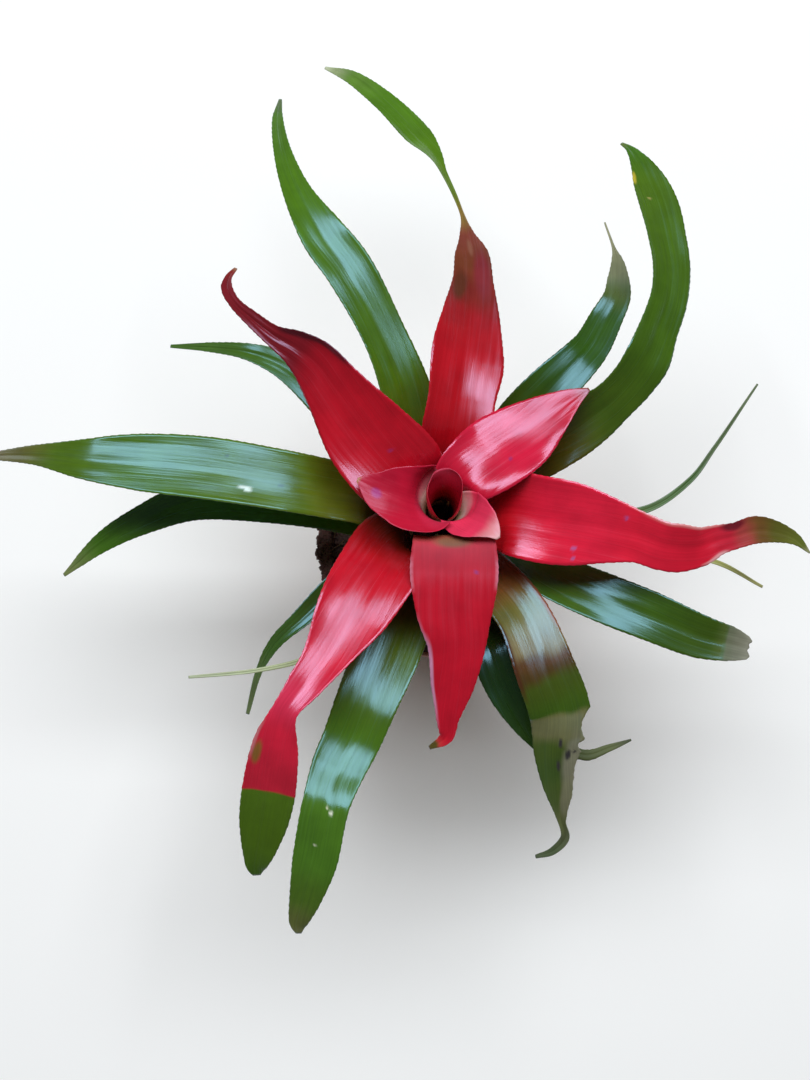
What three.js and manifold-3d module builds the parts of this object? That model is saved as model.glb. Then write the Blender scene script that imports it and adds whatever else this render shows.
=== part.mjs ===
// Blushing bromeliad in a nursery pot: a rosette of strap leaves, red round the heart and green
// outside, seated ring by ring on a short stem in peat.
// Millimetres, +Z up. The origin is the centre of the pot's flat base; +Y is the plant's back.
import * as THREE from "three";
import { mergeVertices } from "three/addons/utils/BufferGeometryUtils.js";
import Module from "manifold-3d";

const wasm = await Module();
wasm.setup();

// Driving dimensions
const potHeight = 110;
const potRimRadius = 65;
const potBaseRadius = 45;
const potWall = 1.4;
const potFloor = 2.2;
const potBandHeight = 16;
const potBandStep = 2.6;
const drainHoles = 6;
const drainHoleRadius = 4.5;
const drainRingRadius = 31;
const seatGap = 0.3;
const soilHeight = 103;
const soilMound = 2.5;
const crownDepth = 16;
const stemLedge = 0.8;
const leafThickness = 1.2;
const narrowest = 0.8;
const flattestCurl = 0.02;
const innerRingRadius = 7;
const ringSpacing = 2.5;
const innerRingHeight = 138;
const ringDrop = 4;
const outerRing = 8;
const sheathTurn = 9;
const sheathLean = 0.22;
const sheathOpening = 0.8;

const ringRadius = (ring) => innerRingRadius + ring * ringSpacing;
const ringHeight = (ring) => innerRingHeight - ring * ringDrop;

const red = { color: 0xc01828, roughness: 0.35, metalness: 0 };
const green = { color: 0x3f6b1c, roughness: 0.4, metalness: 0 };
const terracotta = { color: 0x8c4a38, roughness: 0.45, metalness: 0 };
const peat = { color: 0x2a1c16, roughness: 0.95, metalness: 0 };
const pith = { color: 0x8a7a55, roughness: 0.8, metalness: 0 };

// Every leaf, from the heart outwards. ring is its place on the stem, bearing the side it grows
// towards (degrees from +X), wrap how far its sheath reaches round the stem each way, and bend the
// height where sheath turns into blade. blade lists the midrib from there to the tip:
// [x, y, z, width, roll, channel], roll raising the left edge and channel curling both edges up.
const leaves = [
  { name: "heart_leaf_rolled", look: red, ring: 0, bearing: 90, wrap: 138, bend: 145, opening: 1, blade: [
    [2, 7.7, 158, 29.8, 0, 150], [3.4, 8.3, 168, 32, 0, 163], [3.9, 9.8, 174, 33.6, 0, 148],
    [4.3, 13, 182, 31, 0, 93], [4.5, 16.6, 188, 23, 0, 56], [4.6, 18.3, 190, 8, 0, 20]] },
  { name: "heart_leaf_left", look: red, ring: 1, bearing: 175, wrap: 80, bend: 142, opening: 1, blade: [
    [-10, 1.2, 156, 24.8, 6, 74], [-8, 1.9, 168, 23, 12, 68], [-8.4, 2.6, 180, 29, 6, 48],
    [-12.5, 3.4, 188, 35, 0, 38], [-21, 5, 192.5, 29, 0, 26], [-30, 8.5, 194, 18, 0, 18],
    [-36, 11.5, 195, 9, 0, 12], [-40, 14.5, 195, 2, 0, 8]] },
  { name: "heart_leaf_right", look: red, ring: 1, bearing: -20, wrap: 58, bend: 142, opening: 1, blade: [
    [9.4, -2.9, 156, 17.2, 0, 52], [12, -2.6, 168, 18, 0, 52], [14.3, -3.1, 180, 23, 0, 52],
    [16.4, -4, 187, 24, 0, 44], [19.5, -6.8, 190, 19, 0, 26], [25, -12, 190.5, 11, 0, 16],
    [30, -16, 190, 2, 0, 10]] },
  { name: "red_leaf_back_right", look: red, ring: 2, bearing: 42, wrap: 40, bend: 164, blade: [
    [19, 19, 182, 39, -18, 26], [30, 29, 183, 42, -16, 22], [45, 40, 186, 37, -13, 18],
    [58, 50, 187, 25, -11, 16], [69, 58, 187, 12, -8, 12], [78, 63, 187, 2, -6, 8]] },
  { name: "red_leaf_back_left", look: red, ring: 2, bearing: 136, wrap: 42, bend: 162, blade: [
    [-16, 16, 180, 46, 0, 26], [-35, 36, 191, 44, -14, 16], [-51, 57, 198, 33, -26, 12],
    [-61, 71, 199, 27, -28, 12], [-71, 80, 198, 19, -26, 14], [-83, 88, 195, 11, -20, 22],
    [-95, 99, 191, 8, -14, 32], [-105, 110, 186, 6, -8, 40], [-110, 120, 182, 6, -4, 40],
    [-110, 128, 178, 4, 0, 30], [-107, 135, 174, 2, 0, 10]] },
  { name: "red_leaf_front", look: red, ring: 2, bearing: -84, wrap: 46, bend: 155, blade: [
    [8, -22, 183, 42, 0, 30], [8, -33, 184, 44, 1, 22], [8, -52, 181, 38, 1, 18],
    [9, -68, 178, 29, 2, 18], [7, -88, 171, 21, 3, 18], [5, -102, 166, 12, 3, 20],
    [4, -112, 162, 7, 9, 20], [-4, -117, 157, 2, 12, 8]] },
  { name: "red_leaf_right", look: red, ring: 3, bearing: -8, wrap: 38, bend: 154, blade: [
    [35, 0, 173, 41, 6, 26], [54, -5, 183, 44, 10, 20], [70, -9, 189, 39, 16, 12],
    [85, -13, 193, 31, 18, 10], [99, -17, 195, 24, 18, 10], [109, -21, 196, 23, 18, 10],
    [118, -22, 195, 23, 18, 10], [128, -21, 193, 19, 14, 12], [138, -17, 190, 15, 10, 16],
    [148, -14, 186, 13, 6, 18], [160, -10, 181, 14, 2, 20], [172, -10, 176, 11, 0, 20],
    [183, -13, 172, 6, 0, 16], [191, -19, 168, 1, 0, 10]] },
  { name: "red_leaf_back", look: red, ring: 3, bearing: 80, wrap: 40, bend: 152, blade: [
    [9, 39, 176, 37, 6, 28], [12, 59, 182, 37, 16, 20], [15, 80, 182, 42, 24, 18],
    [18, 104, 176, 34, 22, 18], [20, 129, 168, 23, 10, 18], [20, 148, 162, 19, 4, 22],
    [18, 162, 157, 9, 0, 40], [16, 176, 153, 3, 0, 60], [12, 191, 148, 3, 10, 60],
    [5, 210, 143, 5, 20, 50], [0, 223, 139, 10, 14, 26], [-9, 238, 133, 17, 8, 20],
    [-28, 266, 123, 14, 4, 20], [-49, 290, 113, 9, 0, 16], [-66, 301, 107, 2, 0, 8]] },
  { name: "red_leaf_front_left", look: red, ring: 3, bearing: -132, wrap: 44, bend: 152, blade: [
    [-19, -15, 166, 43, 12, 30], [-31, -33, 177, 42, 15, 24], [-43, -54, 188, 36, -1, 20],
    [-55, -76, 192, 23, 4, 28], [-65, -90, 195, 17, 1, 28], [-73, -101, 195, 13, 2, 26],
    [-77, -112, 191, 20, -1, 20], [-79, -122, 187, 24, -2, 18], [-82, -138, 178, 26, -2, 16],
    [-85, -152, 170, 24, -3, 16], [-88, -166, 162, 17, -3, 16], [-90, -175, 156, 10, -4, 14],
    [-90, -179, 153, 4, -6, 10]] },
  { name: "green_leaf_back_right", look: green, ring: 4, bearing: 34, wrap: 30, bend: 138, blade: [
    [50, 36, 158, 32, 4, 24], [69, 45, 167, 30, 10, 18], [81, 52, 172, 27, 16, 16],
    [91, 59, 177, 23, 20, 16], [101, 69, 181, 24, 20, 16], [109, 81, 184, 26, 20, 16],
    [116, 98, 181, 23, 20, 16], [123, 117, 177, 22, 18, 16], [126, 137, 173, 23, 16, 16],
    [125, 157, 169, 23, 12, 16], [123, 176, 165, 23, 8, 16], [120, 193, 160, 19, 4, 16],
    [116, 208, 156, 11, 0, 14], [112, 219, 151, 5, 0, 10], [108, 225, 147, 2, 0, 8]] },
  { name: "green_leaf_back", look: green, ring: 4, bearing: 104, wrap: 32, bend: 136, blade: [
    [-9, 39, 152, 30, 1, 24], [-17, 71, 168, 28, 6, 18], [-29, 99, 179, 26, 9, 16],
    [-46, 130, 181, 27, 6, 16], [-60, 150, 183, 24, -1, 16], [-74, 176, 178, 16, 2, 18],
    [-84, 207, 167, 10, 3, 20], [-89, 236, 154, 6, 4, 20], [-89, 255, 144, 2, 5, 8]] },
  { name: "green_leaf_front", look: green, ring: 4, bearing: -110, wrap: 42, bend: 134, blade: [
    [-14, -38, 152, 33, 3, 24], [-25, -69, 165, 34, 3, 18], [-36, -97, 170, 31, 3, 16],
    [-43, -114, 167, 29, 3, 16], [-49, -127, 169, 27, 2, 16], [-55, -146, 174, 23, 1, 16],
    [-60, -171, 167, 22, 1, 16], [-65, -189, 159, 16, 2, 14], [-69, -202, 152, 9, 0, 12],
    [-69, -207, 149, 3, -2, 8]] },
  { name: "green_leaf_left", look: green, ring: 5, bearing: 166, wrap: 38, bend: 134, blade: [
    [-36, 13, 157, 34, 4, 24], [-56, 15, 167, 32, 3, 18], [-81, 17, 176, 33, 5, 16],
    [-117, 22, 180, 34, 5, 14], [-150, 24, 184, 31, 7, 14], [-175, 25, 187, 23, 8, 14],
    [-205, 31, 175, 12, 7, 14], [-247, 38, 148, 2, 8, 8]] },
  { name: "torn_leaf_front_right", look: green, ring: 5, bearing: -50, wrap: 44, bend: 132, blade: [
    [26, -28, 152, 30, -12, 24], [43, -50, 162, 29, -7, 18], [54, -79, 164, 32, -4, 16],
    [62, -101, 158, 31, 3, 16], [61, -119, 152, 24, 5, 20], [62, -136, 146, 16, 4, 30],
    [64, -153, 138, 5, 3, 60], [66, -162, 134, 5, 11, 40], [60, -169, 129, 4, 19, 20],
    [52, -172, 123, 2, 20, 10]] },
  { name: "torn_leaf_right", look: green, ring: 6, bearing: -22, wrap: 34, bend: 128, blade: [
    [44, -17, 146, 28, -7, 24], [63, -31, 157.5, 26, -6, 18], [86, -43, 167, 26, -1, 16],
    [107, -52, 171, 25, 5, 16], [132, -62, 171, 22, 5, 16], [149, -66, 167, 17, 0, 16],
    [159, -68, 164, 12, -1, 14]] },
  { name: "green_leaf_back_right_low", look: green, ring: 6, bearing: 52, wrap: 36, bend: 126, blade: [
    [30, 38, 140, 28, 7, 24], [48, 60, 153, 26, 6, 18], [63, 74, 160, 25, 7, 16],
    [77, 88, 161, 22, 8, 16], [85, 98, 159, 20, 3, 16], [94, 115, 154, 18, -6, 16],
    [101, 129, 150, 15, -6, 16], [103, 141, 146, 12, -7, 18], [104, 154, 141, 7, -7, 24],
    [103, 166, 136, 2, -8, 30], [100, 185, 129, 1, -7, 10]] },
  { name: "green_leaf_left_low", look: green, ring: 6, bearing: 174, wrap: 34, bend: 126, blade: [
    [-36, 8, 141, 30, 0, 24], [-62, 11, 151, 28, 0, 18], [-93, 13, 155, 27, 0, 16],
    [-128, 12, 153, 22, 0, 16], [-158, 3, 145, 16, 0, 16], [-180, -7, 137, 11, 0, 16],
    [-203, -23, 126, 2, 0, 8]] },
  { name: "green_leaf_back_left", look: green, ring: 7, bearing: 130, wrap: 36, bend: 120, blade: [
    [-26, 32, 128, 26, 0, 24], [-42, 51, 138, 24, 0, 20], [-63, 73, 147, 20, 0, 18],
    [-82, 89, 149, 16, 0, 18], [-102, 98, 147, 10, 0, 18], [-122, 103, 141, 6, 0, 18],
    [-149, 107, 133, 2, 0, 8]] },
  { name: "green_leaf_front_low", look: green, ring: 7, bearing: -62, wrap: 44, bend: 118, blade: [
    [21, -36, 130, 24, 0, 24], [26, -66, 156, 20, 0, 18], [34, -88, 154, 17, 0, 16],
    [43, -104, 149, 11, 0, 16], [52, -118, 143, 2, 0, 8]] },
  { name: "narrow_leaf_front_left", look: green, ring: 7, bearing: -152, wrap: 36, bend: 118, blade: [
    [-34, -17, 130, 20, 0, 30], [-56, -35, 140, 15, 0, 30], [-72, -50, 142, 10, 0, 34],
    [-85, -62, 139, 7, 0, 36], [-94, -76, 132, 4, 0, 36], [-101, -98, 122, 2, 0, 20]] },
  { name: "thin_leaf_right", look: green, ring: 8, bearing: 15, wrap: 11, bend: 116, blade: [
    [52, 10, 135, 8, 0, 40], [87, 5, 149, 6, 0, 40], [113, 8, 153, 5, 0, 40],
    [136, 24, 151, 4, 0, 40], [151, 43, 147, 3, 0, 30], [180, 83, 137, 1.6, 0, 10]] },
  { name: "thin_leaf_right_low", look: green, ring: 8, bearing: -11, wrap: 11, bend: 114, blade: [
    [54, -8, 126, 7, 0, 40], [98, -12, 138, 4.6, 0, 40], [148, -18, 141, 3, 0, 30],
    [176, -31, 135, 1.6, 0, 10]] },
  { name: "thin_leaf_front_right", look: green, ring: 8, bearing: -52, wrap: 11, bend: 112, blade: [
    [37, -46, 122, 7, 0, 40], [53, -86, 128, 5, 0, 40], [65, -113, 129, 4, 0, 30],
    [81, -122, 128, 3.6, 0, 30], [103, -114, 125, 1.6, 0, 10]] },
  { name: "thin_leaf_front_left", look: green, ring: 8, bearing: -126, wrap: 12, bend: 114, blade: [
    [-29, -40, 125, 8, 0, 40], [-48, -58, 138, 5, 0, 40], [-68, -71, 147, 3, 0, 30],
    [-92, -77, 148, 2.4, 0, 20], [-130, -80, 140, 1.6, 0, 10]] },
];

const radians = THREE.MathUtils.degToRad;

// The sheath's three stations, on the leaf's ring of the stem, followed by the blade's own.
function stationsOf(leaf) {
  const outX = Math.cos(radians(leaf.bearing));
  const outY = Math.sin(radians(leaf.bearing));
  const radius = ringRadius(leaf.ring);
  const sheathWidth = 2 * radius * radians(leaf.wrap);
  const foot = ringHeight(leaf.ring) + seatGap;
  const turn = Math.min(sheathTurn, (leaf.bend - foot) / 2);
  const station = (lean, height, channel) =>
    [(radius + lean) * outX, (radius + lean) * outY, height, sheathWidth, 0, channel];
  return [
    station(0, foot, leaf.wrap),
    station(0, leaf.bend - turn, leaf.wrap),
    station(sheathLean * turn, leaf.bend, leaf.wrap * (leaf.opening ?? sheathOpening)),
    ...leaf.blade,
  ];
}

// A closed leaf: an upper and a lower face of the same grid, joined round the margin.
function leafGeometry(leaf, alongSteps, acrossSteps) {
  const stations = stationsOf(leaf);
  const midrib = new THREE.CatmullRomCurve3(
    stations.map(([x, y, z]) => new THREE.Vector3(x, y, z)), false, "centripetal");
  const section = new THREE.CatmullRomCurve3(
    stations.map(([, , , width, roll, channel]) => new THREE.Vector3(width, roll, channel)),
    false, "catmullrom", 0.5);
  const outward = new THREE.Vector3(
    Math.cos(radians(leaf.bearing)), Math.sin(radians(leaf.bearing)), 0);
  const points = [];
  for (let i = 0; i <= alongSteps; i++) {
    const t = i / alongSteps;
    const centre = midrib.getPoint(t);
    const forward = midrib.getTangent(t);
    const [width, roll, channel] = section.getPoint(t).toArray();
    const heading = forward.clone().setZ(0).addScaledVector(outward, forward.z ** 4 / 2);
    const left = new THREE.Vector3(-heading.y, heading.x, 0).normalize();
    const up = forward.clone().cross(left).normalize();
    left.crossVectors(up, forward);
    left.applyAxisAngle(forward, radians(roll));
    up.applyAxisAngle(forward, radians(roll));
    const curl = Math.max(radians(channel), flattestCurl);
    const curlRadius = Math.max(width, narrowest) / 2 / curl;
    for (let j = 0; j <= acrossSteps; j++) {
      const angle = curl * (1 - 2 * j / acrossSteps);
      const inward = up.clone().multiplyScalar(Math.cos(angle))
        .addScaledVector(left, -Math.sin(angle));
      const middle = centre.clone()
        .addScaledVector(left, curlRadius * Math.sin(angle))
        .addScaledVector(up, curlRadius * (1 - Math.cos(angle)));
      points.push([
        middle.clone().addScaledVector(inward, leafThickness / 2),
        middle.clone().addScaledVector(inward, -leafThickness / 2),
      ]);
    }
  }
  const positions = points.flatMap(([upper, lower]) => [...upper.toArray(), ...lower.toArray()]);
  const row = 2 * (acrossSteps + 1);
  const index = [];
  const quad = (a, b, c, d) => index.push(a, b, c, a, c, d);
  for (let i = 0; i < alongSteps; i++) {
    const here = i * row;
    const next = here + row;
    for (let j = 0; j < acrossSteps; j++) {
      const k = 2 * j;
      quad(here + k, here + k + 2, next + k + 2, next + k);
      quad(here + k + 1, next + k + 1, next + k + 3, here + k + 3);
    }
    quad(here, next, next + 1, here + 1);
    quad(next + row - 2, here + row - 2, here + row - 1, next + row - 1);
  }
  const last = alongSteps * row;
  for (let j = 0; j < acrossSteps; j++) {
    const k = 2 * j;
    quad(k, k + 1, k + 3, k + 2);
    quad(last + k + 1, last + k, last + k + 2, last + k + 3);
  }
  const geometry = new THREE.BufferGeometry();
  geometry.setAttribute("position", new THREE.Float32BufferAttribute(positions, 3));
  geometry.setIndex(index);
  return geometry;
}

function solidOf(geometry) {
  const bare = geometry.clone().deleteAttribute("normal").deleteAttribute("uv");
  const merged = mergeVertices(bare, 1e-3);
  return new wasm.Manifold(new wasm.Mesh({
    numProp: 3,
    vertProperties: Float32Array.from(merged.attributes.position.array),
    triVerts: Uint32Array.from(merged.index.array),
  }));
}

function geometryOf(solid) {
  const mesh = solid.getMesh();
  const geometry = new THREE.BufferGeometry();
  geometry.setAttribute("position", new THREE.BufferAttribute(mesh.vertProperties, 3));
  geometry.setIndex(new THREE.BufferAttribute(mesh.triVerts, 1));
  return geometry;
}

// A turned body about Z from [radius, height] points that run from the bottom outwards and up.
function turned(points, segments) {
  const profile = points.map(([radius, height]) => new THREE.Vector2(radius, height));
  return new THREE.LatheGeometry(profile, segments).rotateX(Math.PI / 2);
}

// Inside radius of the tapered pot wall at a height.
function potInside(height) {
  const taper = (potRimRadius - potBandStep - potBaseRadius) / potHeight;
  return potBaseRadius + taper * height - potWall;
}

// Thin moulded pot: tapered wall, flat floor with a ring of drain holes, and a stepped-out rim band.
function potGeometry() {
  const bandFoot = potHeight - potBandHeight;
  const bandInside = potRimRadius - potWall;
  const shell = turned([
    [0, 0],
    [potBaseRadius - 1.5, 0],
    [potBaseRadius, 1.5],
    [potInside(bandFoot - 2) + potWall, bandFoot - 2],
    [potRimRadius - 0.6, bandFoot],
    [potRimRadius - 0.2, potHeight - 2.5],
    [potRimRadius + 0.6, potHeight - 1.8],
    [potRimRadius + 0.6, potHeight - 0.5],
    [potRimRadius, potHeight],
    [bandInside, potHeight],
    [bandInside - 0.6, bandFoot + 1],
    [potInside(bandFoot - 1), bandFoot - 1],
    [potInside(potFloor), potFloor],
    [0, potFloor],
  ], 40);
  let pot = solidOf(shell);
  for (let i = 0; i < drainHoles; i++) {
    const angle = (i + 0.5) * 2 * Math.PI / drainHoles;
    const drill = new THREE.CylinderGeometry(drainHoleRadius, drainHoleRadius, 4 * potFloor, 12);
    drill.rotateX(Math.PI / 2);
    drill.translate(drainRingRadius * Math.cos(angle), drainRingRadius * Math.sin(angle), potFloor / 2);
    pot = pot.subtract(solidOf(drill));
  }
  return geometryOf(pot);
}

// Peat that fills the pot to below its rim, mounded a little and hollowed for the plant's crown.
function soilGeometry() {
  const bandFoot = potHeight - potBandHeight;
  const crown = ringRadius(outerRing) + stemLedge + seatGap;
  const bandInside = potRimRadius - potWall - 0.6 - seatGap;
  return turned([
    [0, potFloor + seatGap],
    [potInside(potFloor) - seatGap, potFloor + seatGap],
    [potInside(bandFoot - 1) - seatGap, bandFoot - 1 + seatGap],
    [bandInside, bandFoot + 1 + seatGap],
    [bandInside, soilHeight - 2],
    [bandInside - 3, soilHeight],
    [(bandInside + crown) / 2, soilHeight + soilMound],
    [crown, soilHeight + 1],
    [crown - 2, soilHeight - crownDepth * 0.6],
    [crown * 0.6, soilHeight - crownDepth],
    [0, soilHeight - crownDepth],
  ], 40);
}

// The short stem: one ledge for each ring of leaf sheaths, over a rounded crown that sits in the peat.
function stemGeometry() {
  const crown = ringRadius(outerRing) + stemLedge;
  const profile = [
    [0, soilHeight - crownDepth + seatGap],
    [(crown + seatGap) * 0.6 - seatGap, soilHeight - crownDepth + seatGap],
    [crown - 2 - seatGap, soilHeight - crownDepth * 0.6],
    [crown - seatGap, soilHeight + 1],
  ];
  for (let ring = outerRing; ring >= 0; ring--) {
    const inside = ring > 0 ? ringRadius(ring - 1) + stemLedge : 0;
    profile.push([ringRadius(ring) + stemLedge, ringHeight(ring)]);
    profile.push([inside, ringHeight(ring)]);
  }
  return turned(profile, 28);
}

function piece(name, geometry, look) {
  const mesh = new THREE.Mesh(geometry, new THREE.MeshStandardMaterial(look));
  mesh.name = name;
  return mesh;
}

const plant = new THREE.Group();
plant.add(piece("nursery_pot", potGeometry(), terracotta));
plant.add(piece("potting_soil", soilGeometry(), peat));
plant.add(piece("stem", stemGeometry(), pith));
for (const leaf of leaves) {
  const alongSteps = 2 * (leaf.blade.length + 2);
  const acrossSteps = Math.max(4, Math.ceil(leaf.wrap / 16));
  plant.add(piece(leaf.name, leafGeometry(leaf, alongSteps, acrossSteps), leaf.look));
}

export default plant;
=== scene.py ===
import math
from bisect import bisect_right

import bmesh
import bpy
from mathutils import Matrix, Vector, noise


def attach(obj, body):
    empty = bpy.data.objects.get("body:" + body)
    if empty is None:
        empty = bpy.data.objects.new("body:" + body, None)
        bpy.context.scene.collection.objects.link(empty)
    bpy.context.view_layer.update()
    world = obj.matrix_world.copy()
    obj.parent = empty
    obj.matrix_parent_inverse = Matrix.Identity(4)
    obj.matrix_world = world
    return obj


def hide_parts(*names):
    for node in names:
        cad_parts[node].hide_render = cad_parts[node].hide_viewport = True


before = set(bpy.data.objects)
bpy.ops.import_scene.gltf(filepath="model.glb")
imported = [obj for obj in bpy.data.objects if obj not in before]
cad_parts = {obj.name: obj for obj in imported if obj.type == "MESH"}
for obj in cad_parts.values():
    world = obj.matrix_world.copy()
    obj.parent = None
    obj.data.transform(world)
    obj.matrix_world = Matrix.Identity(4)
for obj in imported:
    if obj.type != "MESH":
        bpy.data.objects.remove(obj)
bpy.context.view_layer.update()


# Nursery pot
# Thin polypropylene pot, injection moulded in brownish terracotta, with a plain stepped-out band
# below its rim and a ring of drain holes in its floor. It carries the peat and the plant.
MM = 0.001
POT_HEIGHT = 110 * MM
POT_RIM_RADIUS = 65 * MM
POT_BASE_RADIUS = 45 * MM
POT_WALL = 1.4 * MM
POT_FLOOR = 2.2 * MM
POT_TAPER_INSET = 2.6 * MM  # how far inside the rim the tapered wall would end
POT_BAND_FOOT = 94 * MM
DRAIN_HOLES = 6
DRAIN_HOLE_RADIUS = 4.5 * MM
DRAIN_RING_RADIUS = 31 * MM
DRAIN_HOLE_SIDES = 32
POT_STEPS = 160
POT_SHARP_EDGE = 50  # degrees
FLOW_LINES = (6, 6, 420)  # noise cells a metre: 170 mm long round the wall and 2.4 mm apart
DUST_PATCHES = 38.0  # cells a metre: 26 mm


def linear(code):
    """An sRGB hex colour such as 8c4a38 as linear red, green, blue and alpha."""
    channels = [int(code[i:i + 2], 16) / 255 for i in (0, 2, 4)]
    return [c / 12.92 if c <= 0.04045 else ((c + 0.055) / 1.055) ** 2.4 for c in channels] + [1.0]


def link(tree, node, sources):
    """Links into a node's sockets from other nodes' outputs."""
    for key, source in sources.items():
        tree.links.new(source, node.inputs[key])


def add_node(tree, kind, settings=None, sources=None):
    """A new shader node of a kind, such as TexNoise, with its settings and links."""
    node = tree.nodes.new("ShaderNode" + kind)
    for key, value in (settings or {}).items():
        if isinstance(key, int) or key in node.inputs:
            node.inputs[key].default_value = value
        else:
            setattr(node, key, value)
    link(tree, node, sources or {})
    return node


def new_finish(name):
    """An empty material with its shader, and the tree that its pattern is built in."""
    material = bpy.data.materials.new(name)
    material.use_nodes = True
    return material, material.node_tree, material.node_tree.nodes["Principled BSDF"]


def moulded_polypropylene():
    """Moulded polypropylene: soft satin sheen, faint flow lines round the wall, dried peat dust."""
    material, tree, shader = new_finish("moulded_polypropylene")
    place = add_node(tree, "TexCoord").outputs["Object"]
    rings = add_node(tree, "Mapping", {"Scale": FLOW_LINES}, {"Vector": place})
    flow = add_node(tree, "TexNoise", {"Scale": 1.0, "Detail": 3.0}, {"Vector": rings.outputs[0]})
    dust = add_node(tree, "TexNoise", {"Scale": DUST_PATCHES, "Detail": 9.0, "Roughness": 0.68},
                    {"Vector": place})
    dusty = add_node(tree, "MapRange", {"From Min": 0.52, "From Max": 0.78}, {"Value": dust.outputs[0]})
    colour = add_node(tree, "Mix", {"data_type": "RGBA", 6: linear("8a4534"), 7: linear("9a5a44")},
                      {0: flow.outputs[0]})
    worn = add_node(tree, "Mix", {"data_type": "RGBA", 7: linear("6b4a3c")},
                    {0: dusty.outputs[0], 6: colour.outputs[2]})
    rough = add_node(tree, "MapRange", {"To Min": 0.36, "To Max": 0.7}, {"Value": dusty.outputs[0]})
    bump = add_node(tree, "Bump", {"Strength": 0.25, "Distance": 0.15 * MM}, {"Height": flow.outputs[0]})
    link(tree, shader, {"Base Color": worn.outputs[2], "Roughness": rough.outputs[0],
                        "Normal": bump.outputs[0]})
    return material


def shaped(name, bm):
    """A bmesh as an object in the scene."""
    mesh = bpy.data.meshes.new(name)
    bm.to_mesh(mesh)
    bm.free()
    shape = bpy.data.objects.new(name, mesh)
    bpy.context.scene.collection.objects.link(shape)
    return shape


def finished(name, bm, material, slot, *nodes):
    """A bmesh as a smooth piece with its finish, riding on the plant and standing for CAD nodes."""
    piece = shaped(name, bm)
    for polygon in piece.data.polygons:
        polygon.use_smooth = True
    piece.data.materials.append(material)
    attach(piece, "root")
    if nodes:
        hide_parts(*nodes)
    return piece


def turned(profile, steps):
    """A bmesh turned about Z from (radius, height) points that start and end on the axis."""
    bm = bmesh.new()
    verts = [bm.verts.new((radius, 0, height)) for radius, height in profile]
    edges = [bm.edges.new(pair) for pair in zip(verts, verts[1:])]
    bmesh.ops.spin(bm, geom=verts + edges, cent=(0, 0, 0), axis=(0, 0, 1), angle=2 * math.pi,
                   steps=steps, use_merge=True)
    bmesh.ops.remove_doubles(bm, verts=bm.verts, dist=0.001 * MM)
    bmesh.ops.recalc_face_normals(bm, faces=bm.faces)
    return bm


def pot_inside(height):
    """Inside radius of the tapered pot wall at a height."""
    top = POT_RIM_RADIUS - POT_TAPER_INSET
    return POT_BASE_RADIUS + (top - POT_BASE_RADIUS) * height / POT_HEIGHT - POT_WALL


foot = POT_BAND_FOOT
lip = POT_RIM_RADIUS
wall_top = pot_inside(foot - 3 * MM)
pot_profile = [
    # Underside and its rounded edge
    (0, 0), (12 * MM, 0), (26 * MM, 0), (36 * MM, 0), (43.2 * MM, 0), (44.3 * MM, 0.3 * MM),
    (45 * MM, 1 * MM), (45.2 * MM, 2 * MM),
    # Outside of the wall, up to the step below the band
    (pot_inside(30 * MM) + POT_WALL, 30 * MM), (pot_inside(60 * MM) + POT_WALL, 60 * MM),
    (wall_top + POT_WALL, foot - 3 * MM), (wall_top + POT_WALL + 0.6 * MM, foot - 2.2 * MM),
    # Band
    (lip - 1.6 * MM, foot - 0.6 * MM), (lip - 0.9 * MM, foot - 0.3 * MM), (lip - 0.6 * MM, foot + 0.4 * MM),
    (lip - 0.4 * MM, foot + 6 * MM), (lip - 0.2 * MM, foot + 12.6 * MM),
    # Rolled rim
    (lip + 0.1 * MM, foot + 13.4 * MM), (lip + 0.5 * MM, foot + 14 * MM), (lip + 0.6 * MM, foot + 14.8 * MM),
    (lip + 0.5 * MM, foot + 15.5 * MM), (lip + 0.1 * MM, foot + 15.9 * MM), (lip - 0.5 * MM, foot + 16 * MM),
    (lip - 1.1 * MM, foot + 15.8 * MM), (lip - 1.4 * MM, foot + 15.2 * MM),
    # Inside of the band, the wall and the floor
    (lip - 1.7 * MM, foot + 8 * MM), (lip - 2.0 * MM, foot + 1 * MM), (wall_top + 0.4 * MM, foot - 0.8 * MM),
    (wall_top, foot - 1.8 * MM), (pot_inside(50 * MM), 50 * MM),
    (pot_inside(POT_FLOOR), POT_FLOOR + 0.8 * MM), (pot_inside(POT_FLOOR) - 0.8 * MM, POT_FLOOR),
    (0, POT_FLOOR)]
pot = finished("pot_shell", turned(pot_profile, POT_STEPS), moulded_polypropylene(),
               "pot_plastic", "nursery_pot")
drills = bmesh.new()
for hole in range(DRAIN_HOLES):
    angle = (hole + 0.5) * 2 * math.pi / DRAIN_HOLES
    place = Vector((DRAIN_RING_RADIUS * math.cos(angle), DRAIN_RING_RADIUS * math.sin(angle), POT_FLOOR / 2))
    bmesh.ops.create_cone(drills, cap_ends=True, segments=DRAIN_HOLE_SIDES, radius1=DRAIN_HOLE_RADIUS,
                          radius2=DRAIN_HOLE_RADIUS, depth=4 * POT_FLOOR, matrix=Matrix.Translation(place))
drill = shaped("drills", drills)
cut = pot.modifiers.new("drain_holes", "BOOLEAN")
cut.operation = "DIFFERENCE"
cut.solver = "EXACT"
cut.object = drill
bpy.context.view_layer.update()
drilled = bpy.data.meshes.new_from_object(pot.evaluated_get(bpy.context.evaluated_depsgraph_get()))
pot.modifiers.clear()
pot.data = drilled
bpy.data.objects.remove(drill)
pot.data.set_sharp_from_angle(angle=math.radians(POT_SHARP_EDGE))


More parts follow.
